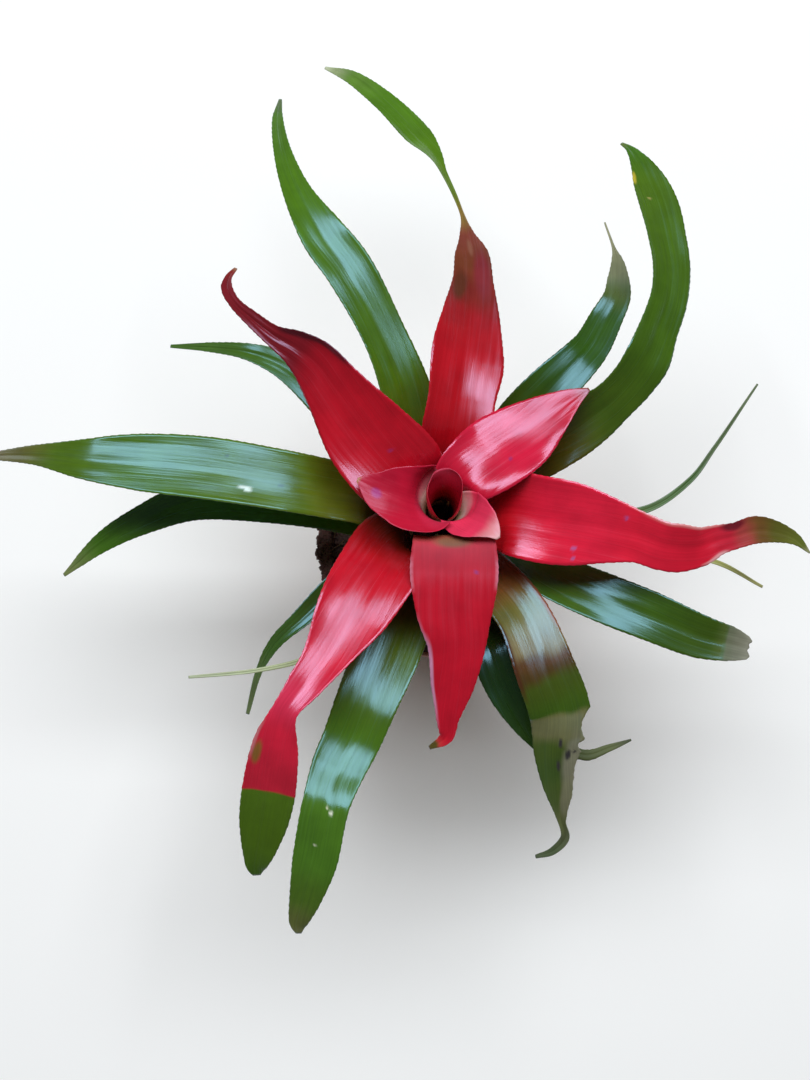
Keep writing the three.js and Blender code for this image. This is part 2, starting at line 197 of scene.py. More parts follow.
# Potting soil
# Moist, dark peat with bark crumbs and coir fibres. It fills the pot to a few millimetres below the
# rim, is mounded and rough on top, and is hollowed where the plant's crown sits in it.
SOIL_HEIGHT = 103 * MM
SOIL_SETTLED = 1.8 * MM  # how far the peat at the wall and the crown lies below that
MOUND = 2.0 * MM
LUMP_HEIGHT = 1.3 * MM
LUMP_SCALE = 130  # noise cells a metre: 8 mm
CROWN_RADIUS = 27.8 * MM
CROWN_DEPTH = 16 * MM
CROWN_TAPER = 0.6  # share of its radius and depth at which the crown rounds under
SEAT_GAP = 0.3 * MM
SOIL_RINGS = 34
SOIL_STEPS = 150
CRUMBS = 620
SPILT_CRUMBS = 420
SPILL_FROM = 168  # degrees round the rim, from +X
SPILL_TO = 216
CRUMB_PITS = 900  # noise cells a metre: 1.1 mm
CRUMB_SEED = 1
FIBRES = 170
FIBRE_SIDES = 4
FIBRE_JOINTS = 9
FIBRE_BENDS = 400  # noise cells a metre: 2.5 mm
SPREAD = (0.61803399, 0.75487767, 0.56984029)  # steps whose multiples never fall into rows


def clamped(value):
    """A value held between 0 and 1."""
    return min(max(value, 0), 1)


def scatter(count, salt):
    """Evenly spread pseudo-random triples from 0 to 1, the same on every run."""
    return [[(i * step + salt) % 1.0 for step in SPREAD] for i in range(count)]


def soil_top(x, y):
    """Height of the rough peat surface at a place."""
    radius = math.hypot(x, y)
    rim = clamped((POT_RIM_RADIUS - 4 * MM - radius) / (4 * MM))
    mound = MOUND * math.sin(math.pi * min(radius / POT_RIM_RADIUS, 1))
    lumps = noise.fractal(Vector((x, y, 0.02)) * LUMP_SCALE, 0.9, 2.1, 5)
    return SOIL_HEIGHT - SOIL_SETTLED + mound * rim + LUMP_HEIGHT * lumps


def add_crumb(bm, radius, matrix, roughness):
    """A small lump placed by a matrix, its surface pitted by a share of its radius."""
    lump = bmesh.ops.create_icosphere(bm, subdivisions=1, radius=radius)["verts"]
    bmesh.ops.transform(bm, verts=lump, matrix=matrix)
    for vert in lump:
        vert.co += noise.noise_vector(vert.co * CRUMB_PITS) * radius * roughness


def moist_peat(name, dark, light, grain):
    """Moist peat: black-brown crumb with paler flecks, grain cells a metre, matt with a few wet glints."""
    material, tree, shader = new_finish(name)
    place = add_node(tree, "TexCoord").outputs["Object"]
    crumb = add_node(tree, "TexNoise", {"Scale": grain, "Detail": 8.0, "Roughness": 0.7}, {"Vector": place})
    flecks = add_node(tree, "TexVoronoi", {"Scale": grain * 1.6}, {"Vector": place})
    colour = add_node(tree, "Mix", {"data_type": "RGBA", 6: linear(dark), 7: linear(light)},
                      {0: crumb.outputs[0]})
    rough = add_node(tree, "MapRange", {"To Min": 0.55, "To Max": 0.95}, {"Value": crumb.outputs[0]})
    bump = add_node(tree, "Bump", {"Strength": 0.9, "Distance": 0.8 * MM}, {"Height": flecks.outputs[0]})
    link(tree, shader, {"Base Color": colour.outputs[2], "Roughness": rough.outputs[0],
                        "Normal": bump.outputs[0]})
    return material


band_inside = POT_RIM_RADIUS - 2.0 * MM - SEAT_GAP
soil_profile = [(0, POT_FLOOR + SEAT_GAP), (pot_inside(POT_FLOOR) - 1 * MM, POT_FLOOR + SEAT_GAP),
                (pot_inside(50 * MM) - SEAT_GAP, 50 * MM), (wall_top - SEAT_GAP, foot - 1.4 * MM),
                (band_inside - 0.6 * MM, foot + 1.6 * MM)]
for ring in range(SOIL_RINGS + 1):
    radius = band_inside + (CROWN_RADIUS + SEAT_GAP - band_inside) * ring / SOIL_RINGS
    soil_profile.append((radius, SOIL_HEIGHT - SOIL_SETTLED))
soil_profile += [(CROWN_RADIUS - 2 * MM, SOIL_HEIGHT - CROWN_TAPER * CROWN_DEPTH),
                 (CROWN_TAPER * CROWN_RADIUS, SOIL_HEIGHT - CROWN_DEPTH), (0, SOIL_HEIGHT - CROWN_DEPTH)]
soil_bm = turned(soil_profile, SOIL_STEPS)
for vert in soil_bm.verts:
    if vert.co.z > SOIL_HEIGHT - 2 * MM:
        vert.co.z = soil_top(vert.co.x, vert.co.y)
finished("peat", soil_bm, moist_peat("moist_peat", "200e0e", "54342e", 420.0), "peat", "potting_soil")

# Crumbs lie all over the surface, and coarser ones are heaped on the rim at the left. The noise that
# pits them is seeded, because it would differ on every run otherwise.
noise.seed_set(CRUMB_SEED)
crumb_bm = bmesh.new()
for turn, reach, size in scatter(CRUMBS, 0.17):
    radius = math.sqrt(reach) * (band_inside - CROWN_RADIUS - 3 * MM) + CROWN_RADIUS + 1.5 * MM
    x = radius * math.cos(2 * math.pi * turn)
    y = radius * math.sin(2 * math.pi * turn)
    grain = (0.5 + 2.0 * size ** 3) * MM
    place = Matrix.Translation((x, y, soil_top(x, y) + 0.15 * grain))
    spin = Matrix.Rotation(12 * turn, 4, "Z") @ Matrix.Rotation(5 * size, 4, "X")
    squash = Matrix.Diagonal((1 + 0.5 * turn, 1.2 - 0.5 * size, 0.75, 1))
    add_crumb(crumb_bm, grain, place @ spin @ squash, 0.35)
for turn, reach, size in scatter(SPILT_CRUMBS, 0.71):
    angle = math.radians(SPILL_FROM + (SPILL_TO - SPILL_FROM) * turn)
    radius = POT_RIM_RADIUS - 6 * MM + 7 * MM * reach * (0.9 + 0.3 * noise.noise(Vector((9 * turn, 0, 0))))
    place = Vector((radius * math.cos(angle), radius * math.sin(angle), POT_HEIGHT))
    place.z += (2.6 * math.sin(math.pi * turn) * (1 - 0.5 * reach) - 0.6) * MM
    grain = (0.7 + 1.7 * size ** 2) * MM
    spin = Matrix.Rotation(9 * turn, 4, "Z") @ Matrix.Rotation(7 * size, 4, "X")
    add_crumb(crumb_bm, grain, Matrix.Translation(place) @ spin, 0.5)
finished("peat_crumbs", crumb_bm, moist_peat("bark_crumb", "241214", "744a42", 700.0), "peat")

# Coir fibres wander over the surface, lifting between their ends, and turn back at the wall.
fibre_bm = bmesh.new()
for turn, reach, size in scatter(FIBRES, 0.43):
    radius = CROWN_RADIUS + 4 * MM + reach * (band_inside - CROWN_RADIUS - 4 * MM)
    heading = 2 * math.pi * (turn * 7.3 % 1.0)
    here = Vector((radius * math.cos(2 * math.pi * turn), radius * math.sin(2 * math.pi * turn), 0))
    here.z = soil_top(here.x, here.y)
    loops = []
    for joint in range(FIBRE_JOINTS):
        thick = (0.16 + 0.16 * size) * MM * (1 - 0.7 * abs(joint / (FIBRE_JOINTS - 1) - 0.4))
        heading += 0.9 * noise.noise(here * FIBRE_BENDS + Vector((turn * 9, 0, 0)))
        step = Vector((math.cos(heading), math.sin(heading), 0)) * (1.1 + 1.4 * size) * MM
        if (here + step).to_2d().length > band_inside - 0.8 * MM:
            heading += math.pi / 2
            step = -here.to_2d().normalized().to_3d() * MM
        here = here + step
        lift = math.sin(math.pi * joint / (FIBRE_JOINTS - 1)) * (0.4 + 3.2 * size ** 2) * MM
        centre = Vector((here.x, here.y, soil_top(here.x, here.y) + lift))
        circle = bmesh.ops.create_circle(fibre_bm, segments=FIBRE_SIDES, radius=thick)["verts"]
        lay = step.to_track_quat("Z", "Y").to_matrix().to_4x4()
        bmesh.ops.transform(fibre_bm, verts=circle, matrix=Matrix.Translation(centre) @ lay)
        loops.append(circle)
    for first, second in zip(loops, loops[1:]):
        for k in range(FIBRE_SIDES):
            n = (k + 1) % FIBRE_SIDES
            fibre_bm.faces.new((first[k], first[n], second[n], second[k]))
    fibre_bm.faces.new(list(reversed(loops[0])))
    fibre_bm.faces.new(loops[-1])
finished("coir_fibres", fibre_bm, moist_peat("coir_fibre", "3a2418", "9a7050", 300.0), "peat")


# Stem
# The plant's short stem, woody pith with a pale ledge for each ring of leaf sheaths and a rounded
# crown below that sits in the peat. The sheaths hide nearly all of it.
RING_RADIUS = 7.0  # millimetres, like the leaf tables below
RING_SPACING = 2.5
RING_HEIGHT = 138.0
RING_DROP = 4.0
OUTER_RING = 8
STEM_LEDGE = 0.8
STEM_STEPS = 96
BARK_FIBRES = (500, 500, 60)  # noise cells a metre: 2 mm wide and 17 mm long up the stem


def pithy_bark():
    """Dry stem bark: buff and brown bands of old leaf scars, fibrous and matt."""
    material, tree, shader = new_finish("pithy_bark")
    place = add_node(tree, "TexCoord").outputs["Object"]
    fibres_up = add_node(tree, "Mapping", {"Scale": BARK_FIBRES}, {"Vector": place})
    grain = add_node(tree, "TexNoise", {"Scale": 1.0, "Detail": 6.0}, {"Vector": fibres_up.outputs[0]})
    colour = add_node(tree, "Mix", {"data_type": "RGBA", 6: linear("4a3a22"), 7: linear("a08a5c")},
                      {0: grain.outputs[0]})
    shader.inputs["Roughness"].default_value = 0.85
    bump = add_node(tree, "Bump", {"Strength": 0.7, "Distance": 0.3 * MM}, {"Height": grain.outputs[0]})
    link(tree, shader, {"Base Color": colour.outputs[2], "Normal": bump.outputs[0]})
    return material


crown_foot = SOIL_HEIGHT - CROWN_DEPTH + SEAT_GAP
stem_profile = [(0, crown_foot), (CROWN_TAPER * CROWN_RADIUS - 1 * MM, crown_foot),
                (CROWN_RADIUS - 2.6 * MM, SOIL_HEIGHT - CROWN_TAPER * CROWN_DEPTH),
                (CROWN_RADIUS - 0.4 * MM, SOIL_HEIGHT - 1 * MM)]
for ring in range(OUTER_RING, -1, -1):
    ledge = (RING_RADIUS + ring * RING_SPACING + STEM_LEDGE) * MM
    inner = (RING_RADIUS + (ring - 1) * RING_SPACING + STEM_LEDGE) * MM if ring else 0
    top = (RING_HEIGHT - ring * RING_DROP) * MM
    stem_profile += [(ledge, top - 0.5 * MM), (ledge - 0.4 * MM, top), (inner, top)]
finished("stem_pith", turned(stem_profile, STEM_STEPS), pithy_bark(), "stem", "stem")


# Heart leaves
# The youngest leaf stands rolled into a tube, and two short leaves fold open on either side of it.
# Their bases hold the plant's cup of water. Like all the leaves they are fleshy, waxy blades.
SHEATH_STATIONS = 3
SHEATH_TURN = 9.0  # millimetres, like the sizes that follow: the top of a sheath, which leans outwards
SHEATH_LEAN = 0.22
SHEATH_OPENING = 0.8
LEAF_THICKNESS = 0.9 * MM
MARGIN_THINNING = 0.7
ROW_LENGTH = 1.0
ACROSS = 24
TABLE_ROWS = 420
PATH_STEP = 0.01
WAVE = 0.10  # radians that a margin waves up and down
WAVE_LENGTH = 17  # millimetres of leaf for each radian along the wave
WAVE_LAG = 1.3  # radians from the midrib's place on the wave to a margin's
TOOTH_HEIGHT = 0.32
TOOTH_SPACING = 4.3
TOOTHED_WIDTH = 5  # a narrower leaf has no teeth
TOOTH_DRIFT = 0.08  # noise cells a millimetre along the leaf: 12 mm
FRAY = 0.35  # the same: 3 mm
FOLD_FROM = 0.6  # share of the half width at which a fold starts
FOLD_OVER = 0.3
FOLD_RISE = 1.5  # how fast a fold grows from its two ends, for each station
GROOVE_DEPTH = 0.35
GROOVE_SHARPNESS = 5
RIPPLE_HEIGHT = 0.3
RIPPLE = (0.035, 2.2)  # noise cells a millimetre along the leaf, and a half width across it
TONE_DRIFT = 0.10  # how far the tones wander along the leaf, in stations
TONE_PATCHES = (0.1, 2)  # noise cells, as above
BITES = 2.3  # noise cells a half width
TIP_LENGTH = 12
RAGGED_LENGTH = 14
MARK_EDGE = 0.45  # share of a mark's size over which it fades out
VEINS = (26, 1500, 1)  # noise cells a metre: 38 mm along the leaf and 0.7 mm across it
WAX_BANDS = (14, 420, 1)  # the same: 71 mm and 2.4 mm
BLOTCHES = 70.0  # 14 mm
BACK_VEINS = (30, 1300, 1)  # 33 mm and 0.8 mm
SCALE_BANDS = (240, 22, 1)  # 4 mm and 45 mm, because a single scale is too fine to show

# Every leaf is a row of values in millimetres and degrees. Its sheath stands on a ring of the stem at a
# bearing from +X, wraps the stem by so much on either side, and turns into the blade at the height bend,
# where opening is the share of the wrap that is left. The sheath has stations -3 to -1 and the blade has
# one for each of its rows, from 0: x, y and height of the midrib, width, roll, which lifts the left
# margin, and channel, the angle to which each half curls up at its margin. A side is 1 for left and -1
# for right, seen from above with the tip ahead. Then, where a leaf has them:
# tones: station, colour                  dry: station, from 0 for living to 1 for dead and matt
# folds: side, from, to, turn            tears: side, from, to, share of the half width that is gone
# marks: station, place across from -1 to 1, half length, half width, colour, dryness
# Most tones and marks are the leaf's own colour. Some are painted shade, in the heart's cup and
# along folds, and some are painted highlights, on curled margins, rims and the heart's lips.
# wave, drift: in place of WAVE, and times TONE_DRIFT
# ragged: how deep the end is bitten     across: grid cells across the leaf


def blend_stops(stops, at):
    """The value of a list of (place, value) stops at a place, held flat past both ends."""
    if at <= stops[0][0]:
        return stops[0][1]
    for (a, first), (b, second) in zip(stops, stops[1:]):
        if at <= b:
            share = (at - a) / (b - a)
            share = share * share * (3 - 2 * share)
            if isinstance(first, (int, float)):
                return first + (second - first) * share
            return [p + (q - p) * share for p, q in zip(first, second)]
    return stops[-1][1]


def cubic(here, there, leave, reach, share):
    """Cubic between two values with the given slopes."""
    square = share * share
    cube = square * share
    return (here * (2 * cube - 3 * square + 1) + there * (3 * square - 2 * cube)
            + leave * (cube - 2 * square + share) + reach * (cube - square))


def neighbours(points, at):
    """The two points on either side of a place on a path, and how far it lies between the middle two."""
    span = min(int(at), len(points) - 2)
    here, there = points[span], points[span + 1]
    before = points[span - 1] if span else here * 2 - there
    after = points[span + 2] if span + 2 < len(points) else there * 2 - here
    return before, here, there, after, at - span


def rounded_path(points, at):
    """A place on the smooth curve through points, spaced by the root of their distances."""
    before, here, there, after, share = neighbours(points, at)
    first, middle, last = [max(math.sqrt((q - p).length), 1e-4)
                           for p, q in ((before, here), (here, there), (there, after))]
    leave = ((here - before) / first - (there - before) / (first + middle) + (there - here) / middle) * middle
    reach = ((there - here) / middle - (after - here) / (middle + last) + (after - there) / last) * middle
    return cubic(here, there, leave, reach, share)


def even_path(points, at):
    """A place on the smooth curve through evenly spaced values."""
    before, here, there, after, share = neighbours(points, at)
    return cubic(here, there, (there - before) / 2, (after - here) / 2, share)


def leaf_stations(leaf):
    """The sheath's three stations, on the leaf's ring of the stem, and then the blade's own."""
    bearing, bend, wrap = math.radians(leaf["bearing"]), leaf["bend"], leaf["wrap"]
    out = Vector((math.cos(bearing), math.sin(bearing), 0))
    radius = RING_RADIUS + leaf["ring"] * RING_SPACING
    sheath_width = 2 * radius * math.radians(wrap)
    low = RING_HEIGHT - leaf["ring"] * RING_DROP + SEAT_GAP / MM
    turn = min(SHEATH_TURN, (bend - low) / 2)
    opening = leaf.get("opening", SHEATH_OPENING)
    sheath = []
    for lean, height, share in ((0, low, 1), (0, bend - turn, 1), (SHEATH_LEAN * turn, bend, opening)):
        sheath.append([*(out * (radius + lean)).to_2d(), height, sheath_width, 0, wrap * share])
    return out, sheath + leaf["blade"]


def leaf_table(leaf):
    """Rows along a leaf: distance, station number, centre, forward, left, up, width and channel."""
    out, stations = leaf_stations(leaf)
    centres = [Vector(s[:3]) for s in stations]
    sections = [Vector(s[3:]) for s in stations]
    end = len(stations) - 1
    rows = []
    travelled = 0.0
    for i in range(TABLE_ROWS + 1):
        at = i / TABLE_ROWS * end
        centre = rounded_path(centres, at)
        ahead = rounded_path(centres, min(at + PATH_STEP, end))
        behind = rounded_path(centres, max(at - PATH_STEP, 0))
        forward = (ahead - behind).normalized()
        width, roll, channel = even_path(sections, at)
        # A leaf that stands upright has no heading of its own, so its bearing stands in for it.
        heading = Vector((forward.x, forward.y, 0)) + out * forward.z ** 4 / 2
        left = Vector((-heading.y, heading.x, 0)).normalized()
        up = forward.cross(left).normalized()
        left = up.cross(forward)
        spin = Matrix.Rotation(math.radians(roll), 3, forward)
        if rows:
            travelled += (centre - rows[-1][2]).length
        rows.append((travelled, at - SHEATH_STATIONS, centre, forward, spin @ left, spin @ up, width,
                     math.radians(channel)))
    return rows


def row_at(rows, distance):
    """The leaf's row at a distance from its foot, between the two nearest table rows."""
    low = min(bisect_right(rows, distance, key=lambda row: row[0]) - 1, len(rows) - 2)
    first, second = rows[low], rows[low + 1]
    share = (distance - first[0]) / max(second[0] - first[0], 1e-6)
    return [a + (b - a) * share for a, b in zip(first, second)]


def cross_section(leaf, side, half, station, distance, width, channel, blade, seed):
    """Sideways and upward places, from the midrib to one margin, with waves, folds, tears and teeth."""
    wave = leaf.get("wave", WAVE) * blade * math.sin(distance / WAVE_LENGTH + seed + WAVE_LAG * side)
    reach = max(width, 1.0) / 2
    for tear_side, start, end, depth in leaf.get("tears", []):
        if tear_side == side and start < station < end:
            middle = math.sin(math.pi * (station - start) / (end - start))
            frayed = 0.75 + 0.5 * noise.noise(Vector((distance * FRAY, seed, 3)))
            reach *= 1 - depth * middle ** 0.6 * frayed
    tooth = 0
    if width > TOOTHED_WIDTH:
        drift = noise.noise(Vector((distance * TOOTH_DRIFT, seed, 9)))
        tooth = TOOTH_HEIGHT * blade * ((distance / TOOTH_SPACING + drift) % 1.0)
    sideways, upwards = [0.0], [0.0]
    for step in range(half):
        mid = (step + 0.5) / half
        angle = channel * mid + wave * mid * mid
        for fold_side, start, end, turn in leaf.get("folds", []):
            if fold_side == side and start < station < end:
                rise = min((station - start) * FOLD_RISE, (end - station) * FOLD_RISE, 1)
                angle += math.radians(turn) * rise * clamped((mid - FOLD_FROM) / FOLD_OVER)
        cell = reach / half + (tooth if step == half - 1 else 0)
        sideways.append(sideways[-1] + cell * math.cos(angle))
        upwards.append(upwards[-1] + cell * math.sin(angle))
    return sideways, upwards


def leaf_bmesh(leaf):
    """The leaf's face as a fine grid, channelled, waved, toothed and torn like the real one."""
    rows = leaf_table(leaf)
    length = rows[-1][0]
    along = round(length / ROW_LENGTH)
    across = leaf.get("across", ACROSS)
    half = across // 2
    seed = 37.0 * leaf["ring"] + leaf["bearing"]
    tones = [(at, linear(code)) for at, code in leaf["tones"]]
    marks = []
    for at, share, long, wide, code, dryness in leaf.get("marks", []):
        nearest = min(rows, key=lambda row: abs(row[1] - at))
        marks.append((nearest[0], share, long, wide, linear(code), dryness))
    bm = bmesh.new()
    # This colour layer holds the leaf's own colour and also the painted highlight and painted shade of some
    # tones and marks.
    pigment_and_painted_light = bm.verts.layers.float_color.new("pigment_and_painted_light")
    dry = bm.verts.layers.float.new("dry")
    margin = bm.verts.layers.float.new("margin")
    measure = bm.loops.layers.uv.new("along_and_across")
    bmesh.ops.create_grid(bm, x_segments=along, y_segments=across, size=0.5)
    grid = {(round((v.co.x + 0.5) * along), round((v.co.y + 0.5) * across) - half): v for v in bm.verts}
    for i in range(along + 1):
        distance = i / along * length
        _, station, centre, forward, left, up, width, channel = row_at(rows, distance)
        blade = clamped(station + 1.5) * clamped((length - distance) / TIP_LENGTH)
        base_tone = blend_stops(tones, station)
        base_dry = blend_stops(leaf.get("dry", [(0, 0.0)]), station)
        for side in (-1, 1):
            sideways, upwards = cross_section(leaf, side, half, station, distance, width, channel,
                                              blade, seed)
            for step in range(half + 1):
                share = side * step / half
                vert = grid[i, side * step]
                groove = -GROOVE_DEPTH * math.exp(-(share * GROOVE_SHARPNESS) ** 2) * blade
                swell = noise.noise(Vector((distance * RIPPLE[0], share * RIPPLE[1], seed)))
                ripple = RIPPLE_HEIGHT * blade * swell
                bite = leaf.get("ragged", 0) * (0.6 + noise.noise(Vector((share * BITES, seed, 0))))
                back = forward * bite * clamped((distance - length + RAGGED_LENGTH) / RAGGED_LENGTH)
                place = centre + left * sideways[step] * side + up * (upwards[step] + groove + ripple) - back
                vert.co = place * MM
                tone, dryness = base_tone, base_dry
                if station > 0:
                    patch = noise.noise(Vector((distance * TONE_PATCHES[0], share * TONE_PATCHES[1], seed)))
                    tone = blend_stops(tones, station + TONE_DRIFT * patch * leaf.get("drift", 1))
                for mark_at, mark_share, long, wide, mark_tone, mark_dry in marks:
                    aside = (share - mark_share) * max(width, 2) / 2
                    away = math.hypot((distance - mark_at) / long, aside / wide)
                    fade = clamped((1 - away) / MARK_EDGE)
                    tone = [a + (b - a) * fade for a, b in zip(tone, mark_tone)]
                    dryness = max(dryness, mark_dry * fade)
                vert[pigment_and_painted_light] = tone
                vert[dry] = dryness
                vert[margin] = abs(share)
                for loop in vert.link_loops:
                    loop[measure].uv = (distance * MM, side * sideways[step] * MM)
    bmesh.ops.recalc_face_normals(bm, faces=bm.faces)
    middle_row = rows[TABLE_ROWS // 2]
    middle_face = min(bm.faces, key=lambda face: (face.calc_center_median() / MM - middle_row[2]).length)
    if middle_face.normal.dot(middle_row[5]) < 0:
        bmesh.ops.reverse_faces(bm, faces=bm.faces)
    return bm


def waxy_leaf_face(name, gloss, streak, sheen):
    """A leaf's upper face: fine lengthwise veins under a waxy cuticle that shines, and dead patches matt.

    The gloss is its roughness, the streak how strongly the veins show and the sheen the highlight's tint.
    """
    material, tree, shader = new_finish(name)
    uv = add_node(tree, "UVMap").outputs[0]
    pigment_and_painted_light = add_node(tree, "Attribute", {"attribute_name": "pigment_and_painted_light"}).outputs["Color"]
    dry = add_node(tree, "Attribute", {"attribute_name": "dry"}).outputs["Fac"]
    lengthwise = add_node(tree, "Mapping", {"Scale": VEINS}, {"Vector": uv})
    veins = add_node(tree, "TexNoise", {"Scale": 1.0, "Detail": 4.0, "Roughness": 0.6},
                     {"Vector": lengthwise.outputs[0]})
    wide = add_node(tree, "Mapping", {"Scale": WAX_BANDS}, {"Vector": uv})
    bands = add_node(tree, "TexNoise", {"Scale": 1.0, "Detail": 2.0}, {"Vector": wide.outputs[0]})
    blotch = add_node(tree, "TexNoise", {"Scale": BLOTCHES, "Detail": 4.0}, {"Vector": uv})
    shade = add_node(tree, "MapRange", {"From Min": 0.3, "From Max": 0.7, "To Min": 1 - streak,
                                        "To Max": 1 + streak}, {"Value": veins.outputs[0]})
    patch = add_node(tree, "MapRange", {"From Min": 0.3, "From Max": 0.7, "To Min": 0.88,
                                        "To Max": 1.12}, {"Value": blotch.outputs[0]})
    both = add_node(tree, "Math", {"operation": "MULTIPLY"}, {0: shade.outputs[0], 1: patch.outputs[0]})
    living = add_node(tree, "VectorMath", {"operation": "SCALE"}, {0: pigment_and_painted_light, "Scale": both.outputs[0]})
    rough = add_node(tree, "MapRange", {"From Min": 0.3, "From Max": 0.7, "To Min": gloss - 0.05,
                                        "To Max": gloss + 0.12}, {"Value": bands.outputs[0]})
    dulled = add_node(tree, "Mix", {3: 0.75}, {0: dry, 2: rough.outputs[0]})
    ribs = add_node(tree, "Math", {"operation": "MULTIPLY_ADD", 1: 0.35},
                    {0: veins.outputs[0], 2: bands.outputs[0]})
    bump = add_node(tree, "Bump", {"Strength": 0.55, "Distance": 0.25 * MM}, {"Height": ribs.outputs[0]})
    shader.inputs["Specular IOR Level"].default_value = 0.8
    shader.inputs["Specular Tint"].default_value = linear(sheen)
    link(tree, shader, {"Base Color": living.outputs[0], "Roughness": dulled.outputs[0],
                        "Normal": bump.outputs[0]})
    return material


def scurfy_leaf_back(name, bloom):
    """The same leaf's underside: its colour greyed by a bloom of fine scales that sit in cross bands."""
    material, tree, shader = new_finish(name)
    uv = add_node(tree, "UVMap").outputs[0]
    pigment_and_painted_light = add_node(tree, "Attribute", {"attribute_name": "pigment_and_painted_light"}).outputs["Color"]
    lengthwise = add_node(tree, "Mapping", {"Scale": BACK_VEINS}, {"Vector": uv})
    veins = add_node(tree, "TexNoise", {"Scale": 1.0, "Detail": 4.0}, {"Vector": lengthwise.outputs[0]})
    crosswise = add_node(tree, "Mapping", {"Scale": SCALE_BANDS}, {"Vector": uv})
    scales = add_node(tree, "TexNoise", {"Scale": 1.0, "Detail": 5.0, "Roughness": 0.7},
                      {"Vector": crosswise.outputs[0]})
    cover = add_node(tree, "MapRange", {"From Min": 0.42, "From Max": 0.75, "To Max": 0.5},
                     {"Value": scales.outputs[0]})
    colour = add_node(tree, "Mix", {"data_type": "RGBA", 7: linear(bloom)},
                      {0: cover.outputs[0], 6: pigment_and_painted_light})
    shader.inputs["Roughness"].default_value = 0.5
    bump = add_node(tree, "Bump", {"Strength": 0.6, "Distance": 0.2 * MM}, {"Height": veins.outputs[0]})
    link(tree, shader, {"Base Color": colour.outputs[2], "Normal": bump.outputs[0]})
    return material


def grow(leaf, face, back, slot):
    """A leaf as a finished piece: its grid, its two finishes and its thickness, thinner at the margins."""
    piece = finished(leaf["name"] + "_blade", leaf_bmesh(leaf), face, slot, leaf["name"])
    piece.data.materials.append(back)
    margins = piece.vertex_groups.new(name="flesh")
    width_share = piece.data.attributes["margin"].data
    for index, share in enumerate(width_share):
        margins.add([index], 1 - MARGIN_THINNING * share.value ** 3, "REPLACE")
    thick = piece.modifiers.new("flesh", "SOLIDIFY")
    thick.thickness = LEAF_THICKNESS
    thick.offset = 0
    thick.material_offset = 1
    thick.use_quality_normals = True
    thick.vertex_group = "flesh"


heart_face = waxy_leaf_face("red_cuticle_young", 0.30, 0.06, "a89cb4")
heart_back = scurfy_leaf_back("red_scurf_young", "a06a62")
heart_leaves = [
    dict(name="heart_leaf_rolled", ring=0, bearing=90, wrap=138, bend=145, opening=1, across=40,
         wave=0, blade=[
        [2.2, 8.6, 158, 33, 0, 150], [3.2, 9.6, 168, 38.5, 0, 166],
        [3.2, 10.7, 174.5, 44.5, 0, 166], [3, 12.6, 180.5, 40, 0, 132],
        [2.6, 16.6, 186.5, 27, 0, 88], [1.8, 19.4, 190, 9, 0, 40]],
        # Near black at the foot, reddening up the tube: painted shade deep in the cup.
        tones=[(-3, "0c0403"), (0, "0e0404"), (0.7, "180506"), (1.2, "6a0c14"), (1.8, "a0101e"),
               (3, "b0142a"), (4, "b41c34"), (5, "b83048")]),
    dict(name="heart_leaf_left", ring=1, bearing=175, wrap=80, bend=142, opening=1, across=36,
         wave=0.03, blade=[
        [-5.5, 2.6, 160, 25.4, 0, 92], [-5.9, 3.6, 170, 30, 0, 93],
        [-8.5, 4.6, 177.5, 39.4, 0, 93], [-11.2, 3.8, 182.5, 48, 0, 84],
        [-15.5, 4, 187, 40, 0, 58], [-22.5, 5.8, 190.5, 30.5, 0, 32], [-30, 8, 193, 21, 0, 20],
        [-36, 10.8, 194.5, 10.5, 0, 14], [-40, 12.6, 195, 2, 0, 8]],
        # Near black at the foot is painted shade in the cup. The cream band after it is the pale leaf base,
        # lightened into a painted highlight where the blade rolls over into the tube.
        tones=[(-3, "120604"), (0.2, "2a1008"), (0.7, "a8844c"), (1.2, "e8d0a4"), (1.8, "fce0d0"),
               (2.15, "d47c84"), (2.5, "c02a48"), (3.5, "c41c3a"), (4.5, "bc1432"), (7.6, "b01a34"),
               (8, "b09060")],
        marks=[(6.0, 0.2, 3.4, 3.2, "a42870", 0)]),
    dict(name="heart_leaf_right", ring=1, bearing=-20, wrap=58, bend=142, opening=1, across=32,
         wave=0.03, blade=[
        [8.9, -0.5, 160, 18.6, 0, 75], [10.7, -0.3, 170, 21, 0, 75],
        [13.9, -1.6, 177.5, 26.5, 2, 75], [15.7, -4.4, 183, 28.5, 0, 53],
        [19.3, -7.2, 187.6, 24.5, 0, 38], [23.3, -10.2, 191.3, 17, 0, 26],
        [26.8, -13.6, 193.5, 9, 0, 16], [29.4, -17.2, 194.5, 2, 0, 10]],
        # Near black at the foot is painted shade in the cup. The cream band after it is the pale leaf base,
        # lightened into a painted highlight where the blade rolls over into the tube.
        tones=[(-3, "120604"), (0.2, "2a1008"), (0.7, "ac8a50"), (1.2, "f0d8ac"), (1.8, "ffe8dc"),
               (2.1, "e8949c"), (2.4, "dc3456"), (4.6, "dc3456"), (6.0, "dc8a90"), (7, "d8a0a0")]),
]
for leaf in heart_leaves:
    grow(leaf, heart_face, heart_back, "red_leaf")


